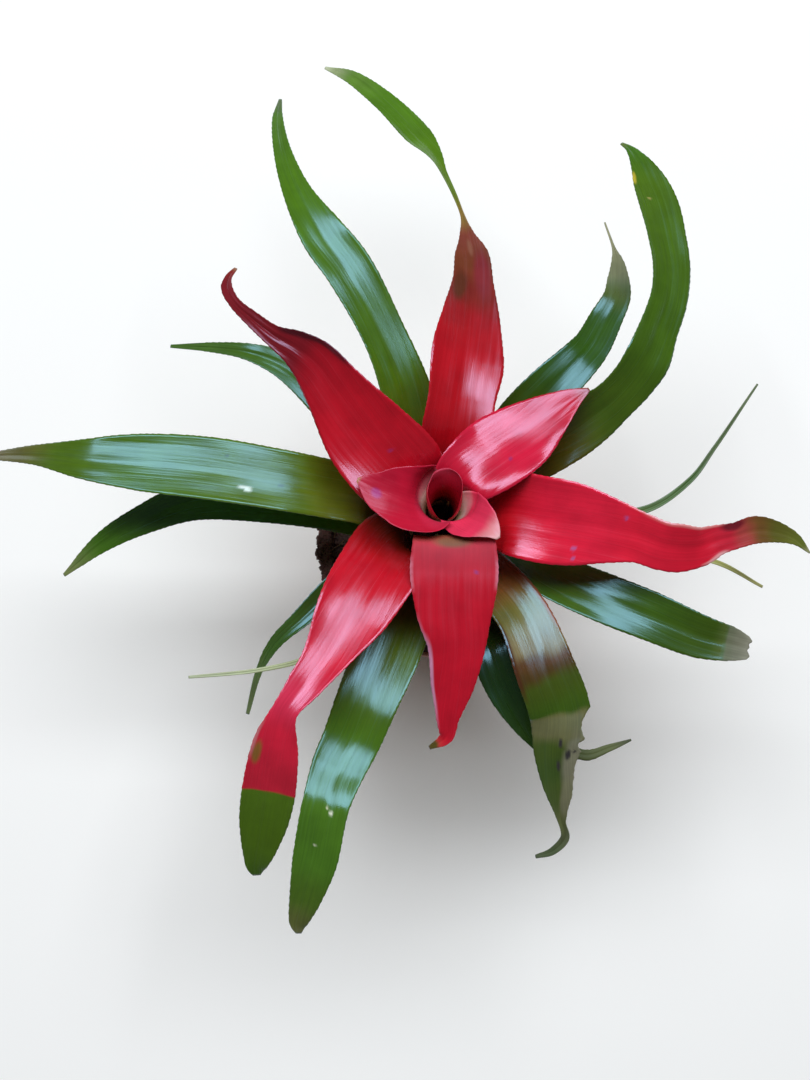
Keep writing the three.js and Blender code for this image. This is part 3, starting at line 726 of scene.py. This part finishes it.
# Red leaves
# Six leaves round the heart that blush scarlet before the plant flowers. They are stiff, channelled
# straps with fine teeth, seated on the second and third rings of the stem.
red_face = waxy_leaf_face("red_cuticle", 0.20, 0.07, "e2d8ff")
red_back = scurfy_leaf_back("red_scurf", "8a5a50")
red_leaves = [
    dict(name="red_leaf_back_right", ring=2, bearing=42, wrap=40, bend=166, blade=[
        [12.8, 16, 182.8, 31, 3, 30], [30, 29, 182.5, 41, -13, 24], [45, 40, 180.7, 37, -12, 20],
        [58, 50, 182.8, 25, -11, 16], [69, 58, 184.5, 12, -8, 12], [78, 63, 185.3, 2, -6, 8]],
        tones=[(-3, "5a4a1c"), (-1, "8a2018"), (0, "c81a38"), (2, "cc1a3c"), (4, "c01c34"),
               (4.7, "98301c"), (5, "7a3a24")],
        folds=[(-1, -0.5, 3.2, -26)],
        marks=[(1.2, -0.35, 1.2, 1.2, "982866", 0)]),
    dict(name="red_leaf_back_left", ring=2, bearing=136, wrap=42, bend=162, blade=[
        [-16, 16, 180, 46, 0, 26], [-35, 36, 191, 44, -14, 10], [-51, 57, 198, 33, -26, 8],
        [-61, 71, 199, 27, -28, 8], [-71, 80, 198, 19, -26, 10], [-83, 88, 195, 11, -20, 14],
        [-95, 99, 191, 8, -14, 16], [-105, 110, 186, 6, -8, 20], [-110, 120, 182, 6, -4, 22],
        [-110, 128, 178, 4, 0, 30], [-107, 135, 174, 2, 0, 10]],
        tones=[(-3, "5a4a1c"), (-1, "8a2018"), (0, "b40e20"), (1.5, "bc1022"), (3, "a00c1c"),
               (4, "78101a"), (6, "701218"), (8.5, "74161e"), (9.5, "802420"), (10, "94684a")],
        folds=[(-1, 2.2, 6.0, 18)],
        # The two long dark marks along the right margin are painted shade at its fold; the small purple one
        # is a real spot.
        marks=[(3.0, -0.95, 15, 2.6, "5a0a14", 0), (4.2, -0.9, 14, 3.0, "4c0a12", 0),
               (0.6, -0.2, 1.4, 1.3, "9c2a64", 0)]),
    dict(name="red_leaf_front", ring=2, bearing=-84, wrap=46, bend=155, blade=[
        [7, -11.8, 181, 36, 0, 26], [7.8, -17.5, 187, 41, 0, 18], [8, -33, 185, 44, 1, 17],
        [8, -52, 181.6, 38, 1, 18], [9, -68, 178, 29, 2, 18], [7, -88, 171, 21, 3, 18],
        [5, -102, 166, 12, 3, 20], [4, -112, 162, 7, 9, 20], [-4, -117, 157, 2, 12, 8]],
        tones=[(-3, "5a4a1c"), (-1, "6a5018"), (0.2, "80501c"), (0.7, "9c3422"), (1.1, "b81c28"),
               (1.6, "c0182c"), (3.5, "bc1026"), (7, "bc1026"), (8, "b84a40")],
        # The lavender strip and the two pink strips on the margins are painted highlights; the olive patch,
        # purple spot and tip patch are the leaf's own colour.
        marks=[(0.95, 0.0, 4, 12, "80502a", 0.5), (4.6, -0.98, 32, 1.5, "c888a8", 0),
               (2.0, -0.99, 10, 1.5, "d4788c", 0), (2.0, 0.99, 9, 1.5, "d4788c", 0),
               (1.95, 0.5, 1.2, 1.2, "a03070", 0), (7.8, 0.0, 4, 4, "544a1c", 0)],
        dry=[(-1, 1.0), (0.9, 1.0), (2.6, 0.0)]),
    dict(name="red_leaf_right", ring=3, bearing=-8, wrap=38, bend=154, blade=[
        [35, 0, 173, 41, 9, 26], [54, -5, 183, 44, 17, 20], [70, -9, 189, 41, 24, 12],
        [85, -13, 193, 32.6, 26, 10], [99, -17, 195, 25.2, 26, 10], [109, -21, 196, 24.2, 26, 10],
        [118, -22, 195, 24.2, 26, 10], [128, -21, 193, 19.9, 22, 12], [138, -17, 190, 15, 10, 16],
        [148, -14, 186, 13, 6, 18], [160, -10, 181, 14, 2, 20], [172, -10, 176, 11, 0, 20],
        [183, -13, 172, 6, 0, 16], [191, -19, 168, 1, 0, 10]],
        tones=[(-3, "5a4a1c"), (-1, "6a2014"), (0, "b8101c"), (1, "e01c3a"), (2.4, "e6203e"),
               (4, "dc1c36"), (7, "cc162e"), (8.6, "c02034"), (9.4, "a03c38"), (10.2, "6a4a20"),
               (11, "5a5a1c"), (12.4, "66702a"), (13, "a0a078")],
        folds=[(-1, -0.6, 1.3, 6)],
        # The long pale strip on the left margin and the short one on the right are painted highlights, and
        # the dark maroon mark near the wrist is painted shade where the leaf creases; the purple marks are
        # real spots.
        marks=[(3.4, 0.55, 1.3, 1.3, "b04884", 0), (1.95, -0.6, 1.7, 1.5, "b85c98", 0),
               (2.0, -0.85, 1.2, 1.1, "b85c98", 0), (5.6, 0.97, 40, 0.8, "e09a98", 0),
               (9.0, 0.8, 10, 3.2, "701622", 0), (7.7, -0.95, 9, 1.3, "dc9a9c", 0)]),
    dict(name="red_leaf_back", ring=3, bearing=80, wrap=40, bend=152, blade=[
        [9, 39, 176, 37, 6, 28], [12, 59, 182, 37, 16, 20], [15, 80, 182, 42, 24, 18],
        [18, 104, 176, 34, 22, 18], [20, 129, 168, 23, 10, 18], [20, 148, 162, 19, 4, 22],
        [18, 162, 157, 9, 0, 40], [16, 176, 153, 3, 0, 60], [12, 191, 148, 3, 10, 60],
        [5, 210, 143, 5, 20, 50], [0, 223, 139, 10, 14, 26], [-9, 238, 133, 17, 8, 20],
        [-28, 266, 123, 14, 4, 20], [-49, 290, 113, 9, 0, 16], [-66, 301, 107, 2, 0, 8]],
        tones=[(-3, "5a4a1c"), (-1, "6a2014"), (0, "ac0c18"), (2, "b80e1c"), (3, "a0121a"),
               (3.7, "7a221a"), (4.6, "6e361e"), (6, "7c3c2e"), (7, "887038"), (8.4, "5e7a1e"),
               (10, "507812"), (12, "4c7814"), (13, "5e8430"), (13.6, "90a070"), (14, "c0c8a8")],
        marks=[(5.4, 0.0, 8, 1.8, "845240", 0), (4.3, -0.5, 20, 6, "7c262a", 0),
               (3.9, 0.6, 14, 5.0, "5c2c18", 0)]),
    dict(name="red_leaf_front_left", ring=3, bearing=-132, wrap=44, bend=152, blade=[
        [-19, -15, 168, 43, 12, 30], [-31, -33, 180.5, 42, 10.5, 16], [-43, -54, 188, 36, -1, 20],
        [-55, -76, 192, 23, 4, 28], [-65, -90, 195, 17, 1, 28], [-73, -101, 195, 13, 2, 26],
        [-77, -112, 191, 20, -1, 20], [-79, -122, 187, 24, -2, 18], [-82, -138, 178, 26, -2, 16],
        [-85, -152, 170, 24, -3, 16], [-88, -166, 162, 17, -3, 16], [-90, -175, 156, 10, -4, 14],
        [-90, -179, 153, 4, -6, 10]],
        tones=[(-3, "5a4a1c"), (-1, "4a2a10"), (-0.3, "5c2c10"), (0.4, "a01014"), (1, "c01224"),
               (3, "cc1832"), (4.5, "d43050"), (6, "cc1e38"), (7.98, "c01e34"), (8.05, "4c6c10"),
               (9.5, "46640a"), (12, "3e5e12")],
        drift=0.25,
        marks=[(6.9, -0.72, 7, 2.6, "8a6028", 0), (6.4, -0.97, 12, 1.2, "c06a70", 0)]),
]
for leaf in red_leaves:
    grow(leaf, red_face, red_back, "red_leaf")


# Green leaves
# The older leaves, which stay green: long, arching, toothed straps on the outer rings. Their bases
# are brown-olive and their tips turn yellowish or grey with age.
green_face = waxy_leaf_face("green_cuticle", 0.19, 0.14, "a8e0ff")
green_back = scurfy_leaf_back("green_scurf", "6a7a5a")
green_leaves = [
    dict(name="green_leaf_back_right", ring=4, bearing=34, wrap=30, bend=138, blade=[
        [50, 36, 158, 32, 4, 24], [69, 45, 167, 30, 10, 18], [81, 52, 172, 27, 16, 16],
        [91, 59, 177, 23.7, 24, 10], [101, 69, 181, 24.7, 27, 10], [109, 81, 184, 26.8, 28, 10],
        [116, 98, 181, 23.7, 28, 10], [123, 117, 177, 22.7, 24, 10], [126, 137, 173, 23.7, 20, 10],
        [125, 157, 169, 23, 12, 16], [123, 176, 165, 23, 8, 16], [120, 193, 160, 19, 4, 16],
        [116, 208, 156, 11, 0, 14], [112, 219, 151, 5, 0, 10], [108, 225, 147, 2, 0, 8]],
        tones=[(-3, "6a6a3a"), (-0.5, "4a3a10"), (0.6, "4a480e"), (2.6, "40580c"), (6, "40600c"),
               (11, "48680f"), (13, "44701a"), (14, "6a7a40")],
        marks=[(11.3, 0.92, 6, 1.5, "b0a030", 0), (10.3, 0.35, 1.0, 1.4, "a09858", 0)]),
    dict(name="green_leaf_back", ring=4, bearing=104, wrap=32, bend=136, blade=[
        [-9, 39, 152, 30, 1, 24], [-17, 71, 165.5, 28, 12, 18], [-29, 99, 173.6, 26, 17, 16],
        [-46, 130, 182, 27, 11, 16], [-60, 150, 183, 24, -1, 16], [-74, 176, 178, 16, 2, 18],
        [-84, 207, 167, 10, 3, 20], [-89, 236, 154, 6, 4, 20], [-89, 255, 144, 2, 5, 8]],
        tones=[(-3, "6a6a3a"), (0, "4a540c"), (1.5, "46680f"), (5, "4a7212"), (7, "4a701e"),
               (8, "5a6a40")]),
    dict(name="green_leaf_front", ring=4, bearing=-110, wrap=42, bend=134, blade=[
        [-14, -38, 152, 33, 3, 24], [-25, -69, 165, 34, 3, 18], [-36, -97, 170, 31, 3, 16],
        [-43, -114, 167, 29, 3, 16], [-49, -127, 169, 27, 2, 16], [-55, -146, 174, 23, 1, 16],
        [-60, -171, 167, 22, 1, 16], [-65, -189, 159, 16, 2, 14], [-69, -202, 152, 9, 0, 12],
        [-69, -207, 149, 3, -2, 8]],
        tones=[(-3, "6a6a3a"), (0, "3a3c0c"), (1, "4a6014"), (3, "466a14"), (6, "48701a"),
               (7, "486418"), (8, "5a602e"), (9, "6a6a44")],
        marks=[(5.1, 0.3, 1.4, 1.1, "dce0cc", 0), (5.0, 0.1, 1.0, 0.8, "ccd0b4", 0),
               (5.7, -0.15, 0.9, 0.9, "c8ccb0", 0)]),
    dict(name="green_leaf_left", ring=5, bearing=166, wrap=38, bend=134, blade=[
        [-36, 13, 157, 34, 4, 24], [-56, 15, 165.5, 32, 3, 18], [-81, 17, 176.5, 33, 5, 16],
        [-117, 22, 180, 34, 5, 14], [-150, 24, 184, 31, 7, 14], [-175, 25, 187, 23, 8, 14],
        [-205, 31, 175, 12, 7, 14], [-247, 38, 148, 2, 8, 8]],
        tones=[(-3, "6a6a3a"), (-0.3, "54480c"), (0.8, "5c6412"), (2, "526c14"), (4, "4a6c12"),
               (5.6, "4a6612"), (6.4, "625e2c"), (7, "7a6644")],
        marks=[(2.45, 0.4, 4.2, 0.9, "e4eee6", 0), (2.4, 0.5, 2.2, 1.2, "d8e8dc", 0),
               (1.95, 0.15, 2.0, 0.7, "3c4420", 0), (2.75, -0.5, 1.2, 0.7, "34421c", 0)]),
    dict(name="green_leaf_back_right_low", ring=6, bearing=52, wrap=36, bend=126, blade=[
        [30, 38, 140, 28, 7, 24], [48, 60, 153, 26, 6, 18], [63, 74, 160, 25, 7, 16],
        [77, 88, 160, 22, 8, 16], [85, 98, 156.5, 20, 3, 16], [94, 115, 152, 18, -6, 16],
        [101, 129, 150, 15, -6, 16], [103, 141, 146, 12, -7, 18], [104, 154, 141, 7, -7, 24],
        [103, 166, 136, 2, -8, 30], [100, 185, 129, 1, -7, 10]],
        tones=[(-3, "6a6a3a"), (0, "364a0c"), (3, "2f500e"), (5.2, "345414"), (6.3, "526032"),
               (7.5, "74744e"), (10, "a09c78")],
        dry=[(5.8, 0.0), (7.5, 0.8)]),
    dict(name="green_leaf_left_low", ring=6, bearing=174, wrap=34, bend=126, blade=[
        [-36, 8, 141, 30, 0, 24], [-62, 11, 151, 28, 0, 18], [-93, 13, 155, 27, 0, 16],
        [-128, 12, 153, 22, 0, 16], [-158, 3, 145, 16, 0, 16], [-180, -7, 137, 11, 0, 16],
        [-203, -23, 126, 2, 0, 8]],
        tones=[(-3, "6a6a3a"), (0, "4c7c1c"), (2, "3c6814"), (3.6, "3e6210"), (5, "4a7418"),
               (6, "7a8450")]),
    dict(name="green_leaf_back_left", ring=7, bearing=130, wrap=36, bend=120, blade=[
        [-26, 32, 128, 26, 0, 24], [-42, 51, 139.5, 24, 0, 20], [-63, 73, 147.5, 20, 0, 18],
        [-82.3, 89.7, 147, 16, 0, 18], [-102.4, 98.4, 145.5, 10, 0, 18],
        [-122.4, 103.8, 139, 6, 0, 18], [-149.6, 108.7, 129, 2, 0, 8]],
        tones=[(-3, "6a6a3a"), (0, "2c400c"), (2, "3e6012"), (3.4, "446818"), (6, "4c6c2c")]),
    dict(name="green_leaf_front_low", ring=7, bearing=-62, wrap=44, bend=118, blade=[
        [21, -36, 130, 24, 0, 24], [26, -66, 156, 20, 0, 18], [34, -88, 154, 17, 0, 16],
        [43, -104, 149, 11, 0, 16], [52, -118, 143, 2, 0, 8]],
        tones=[(-3, "6a6a3a"), (0, "1e300a"), (2, "1e360a"), (4, "2c4414")]),
    dict(name="narrow_leaf_front_left", ring=7, bearing=-152, wrap=36, bend=118, blade=[
        [-34, -17, 130, 20, 0, 30], [-56, -35, 140, 15, 0, 30], [-72, -50, 142, 10, 0, 34],
        [-85, -62, 139, 7, 0, 36], [-94, -76, 132, 4, 0, 36], [-101, -98, 122, 2, 0, 20]],
        tones=[(-3, "6a6a3a"), (0, "2c400c"), (1, "2e4a14"), (3, "3c5c20"), (5, "6a7a50")]),
]
for leaf in green_leaves:
    grow(leaf, green_face, green_back, "green_leaf")


# Torn leaves
# Two old green leaves on the front and right whose ends have died back: buff and grey, dry and
# matt, split along the veins and torn at the margin.
torn_leaves = [
    dict(name="torn_leaf_front_right", ring=5, bearing=-50, wrap=44, bend=132, blade=[
        [26, -28, 152, 30, -16, 24], [43, -50, 162, 29, -12, 18], [54, -79, 164, 32, -7, 16],
        [62, -101, 158, 31, 3, 16], [61, -119, 152, 24, 5, 20], [62, -136, 146, 16, 4, 30],
        [64, -153, 138, 5, 3, 60], [66, -162, 134, 5, 11, 40], [60, -169, 129, 4, 19, 20],
        [52, -172, 123, 2, 20, 10]],
        tones=[(-3, "6a6a3a"), (-0.5, "6a2c14"), (0.4, "7a4c20"), (0.9, "706c2c"), (1.6, "7e704a"),
               (1.85, "583818"), (2.0, "4c3610"), (2.3, "42520e"), (2.9, "3a540c"), (3.05, "6a683c"),
               (3.5, "66643c"), (3.9, "3e4e0d"), (4.6, "384a0e"), (5.3, "46541a"), (6, "5e6236"),
               (7, "565a38"), (8, "4c5630"), (9, "505836")],
        tears=[(1, 2.95, 3.5, 0.42), (1, 3.5, 3.9, 0.30), (1, 3.9, 5.2, 0.22)],
        dry=[(2.9, 0.0), (3.1, 0.7), (3.8, 0.3), (6, 0.5)],
        marks=[(1.6, -0.95, 26, 2.0, "4c2a12", 0), (1.0, 0.97, 22, 1.2, "8a4a34", 0),
               (4.3, 0.8, 20, 7.5, "726d52", 1), (5.3, 0.6, 14, 4.2, "706c4c", 1),
               (3.75, 0.12, 3.2, 1.5, "2c1a06", 1), (4.05, 0.5, 3.8, 1.8, "2a1806", 1),
               (4.4, 0.05, 3.4, 1.5, "2e1c08", 1), (3.95, 0.75, 1.4, 1.2, "2a1806", 1)]),
    dict(name="torn_leaf_right", ring=6, bearing=-22, wrap=34, bend=128, blade=[
        [44, -17, 146, 28, -7, 24], [63, -31, 157.5, 26, -6, 18], [86, -43, 167, 26, -1, 16],
        [107, -52, 170.3, 25, 5, 16], [132, -62, 168.5, 22, 12, 16], [149, -66, 167, 17, 10, 16],
        [159, -68, 164, 12, -1, 14]],
        tones=[(-3, "6a6a3a"), (0, "3c5a14"), (1, "3c5c12"), (3, "3a5810"), (4.3, "3c540c"),
               (4.72, "50602a"), (4.8, "66684a"), (5.2, "76745c"), (6, "8a8672")],
        ragged=2.4,
        drift=0.3,
        dry=[(4.6, 0.0), (4.85, 1.0)]),
]
for leaf in torn_leaves:
    grow(leaf, green_face, green_back, "green_leaf")


# Thin leaves
# Narrow, folded leaves low on the stem that reach out between the others. Their ends are pale
# yellow-green and nearly dry.
thin_face = waxy_leaf_face("pale_cuticle", 0.38, 0.10, "e8f4f4")
thin_back = scurfy_leaf_back("pale_scurf", "9aa07a")
thin_leaves = [
    dict(name="thin_leaf_right", ring=8, bearing=15, wrap=11, bend=116, across=8, blade=[
        [52, 10, 135, 8, 0, 40], [87, 5, 149, 5.4, 0, 40], [113, 8, 153, 4.4, 0, 40],
        [136, 24, 151, 3.4, 0, 40], [151, 43, 147, 2.4, 0, 30], [180, 83, 137, 1.2, 0, 10]],
        tones=[(-3, "6a6a3a"), (1, "42621c"), (3, "3e5c24"), (4, "485a30"), (5, "5c6a48")]),
    dict(name="thin_leaf_right_low", ring=8, bearing=-11, wrap=11, bend=114, across=8, blade=[
        [54, -8, 126, 7, 0, 40], [98, -12, 138, 4.6, 0, 40], [148, -18, 141, 3, 0, 30],
        [176, -31, 135, 1.6, 0, 10]],
        tones=[(-3, "6a6a3a"), (0, "5a6a2a"), (2, "a4a860"), (3, "b0ae70")]),
    dict(name="thin_leaf_front_right", ring=8, bearing=-52, wrap=11, bend=112, across=8, blade=[
        [37, -46, 122, 7, 0, 40], [53, -86, 128, 5.4, 0, 30], [66, -113.5, 130, 4.6, 0, 8],
        [78, -120, 131, 5.4, 0, 6], [92, -116, 129, 3.8, 0, 8], [103.5, -112, 127, 1.2, 0, 8]],
        tones=[(-3, "6a6a3a"), (1, "3a4a1c"), (2.5, "4a5424"), (4, "565e30"), (5, "3e4426")],
        dry=[(0, 0.9), (5, 0.9)]),
    dict(name="thin_leaf_front_left", ring=8, bearing=-126, wrap=12, bend=114, across=8, blade=[
        [-29, -40, 125, 8, 0, 40], [-48, -58, 138, 5, 0, 40], [-68, -71, 147, 3, 0, 30],
        [-92, -77, 148, 2.4, 0, 20], [-130, -80, 140, 1.6, 0, 10]],
        tones=[(-3, "6a6a3a"), (1, "5a6a3a"), (2, "a4b080"), (4, "b0ba98")]),
]
for leaf in thin_leaves:
    grow(leaf, thin_face, thin_back, "thin_leaf")


# Studio
# A plain pale floor, one large soft window light from behind the plant and a weak fill from all
# round, seen from above at the angle that the plant was photographed from.
FOCAL_PIXELS = 1150
PHOTO_HEIGHT = 1080
SENSOR = 36.0
LOOK_TILT = 12
CAMERA_PLACE = (-16.4 * MM, -135.1 * MM, 745.8 * MM)
CAMERA_REACH = 20  # metres
FLOOR_REACH = 4  # metres from the plant to each edge
WINDOW_ELEVATION = 66
WINDOW_DISTANCE = 3.0
WINDOW_WIDTH = 4.0
WINDOW_HEIGHT = 1.35
WINDOW_WATTS = 128
WINDOW_COLOUR = (0.93, 0.97, 1.0)
WINDOW_AIM = 0.18  # height above the floor of the place that it faces
FILL = 0.09
FILL_COLOUR = (1.0, 0.94, 0.87, 1.0)
SEEN_WALL = 0.92
SEEN_WALL_COLOUR = (1.0, 1.0, 1.0, 1.0)

floor_bm = bmesh.new()
bmesh.ops.create_grid(floor_bm, x_segments=2, y_segments=2, size=FLOOR_REACH)
floor = shaped("floor", floor_bm)
# Matt pale board: no sheen and no grain, so that nothing but the shadow shows on it.
matt_board, _, board_shader = new_finish("matt_pale_board")
board_shader.inputs["Base Color"].default_value = linear("fcfbfa")
board_shader.inputs["Roughness"].default_value = 0.9
floor.data.materials.append(matt_board)

window = bpy.data.lights.new("window", "AREA")
window.shape = "RECTANGLE"
window.size = WINDOW_WIDTH
window.size_y = WINDOW_HEIGHT
window.energy = WINDOW_WATTS
window.color = WINDOW_COLOUR
window_object = bpy.data.objects.new("window", window)
lift = math.radians(WINDOW_ELEVATION)
window_object.location = (0, WINDOW_DISTANCE * math.cos(lift), WINDOW_AIM + WINDOW_DISTANCE * math.sin(lift))
window_object.rotation_euler = (-(math.pi / 2 - lift), 0, 0)
bpy.context.scene.collection.objects.link(window_object)

world = bpy.data.worlds.new("room")
world.use_nodes = True
room = world.node_tree
seen = add_node(room, "LightPath").outputs["Is Camera Ray"]
strength = add_node(room, "MapRange", {"To Min": FILL, "To Max": SEEN_WALL}, {"Value": seen})
tint = add_node(room, "Mix", {"data_type": "RGBA", 6: FILL_COLOUR, 7: SEEN_WALL_COLOUR}, {0: seen})
link(room, room.nodes["Background"], {"Strength": strength.outputs[0], "Color": tint.outputs[2]})
bpy.context.scene.world = world
bpy.context.scene.view_settings.view_transform = "Standard"

camera = bpy.data.cameras.new("camera")
camera.sensor_width = SENSOR
camera.lens = FOCAL_PIXELS / PHOTO_HEIGHT * SENSOR
camera.clip_end = CAMERA_REACH
camera_object = bpy.data.objects.new("camera", camera)
camera_object.location = CAMERA_PLACE
camera_object.rotation_euler = (math.radians(LOOK_TILT), 0, 0)
bpy.context.scene.collection.objects.link(camera_object)
bpy.context.scene.camera = camera_object

bpy.context.view_layer.update()
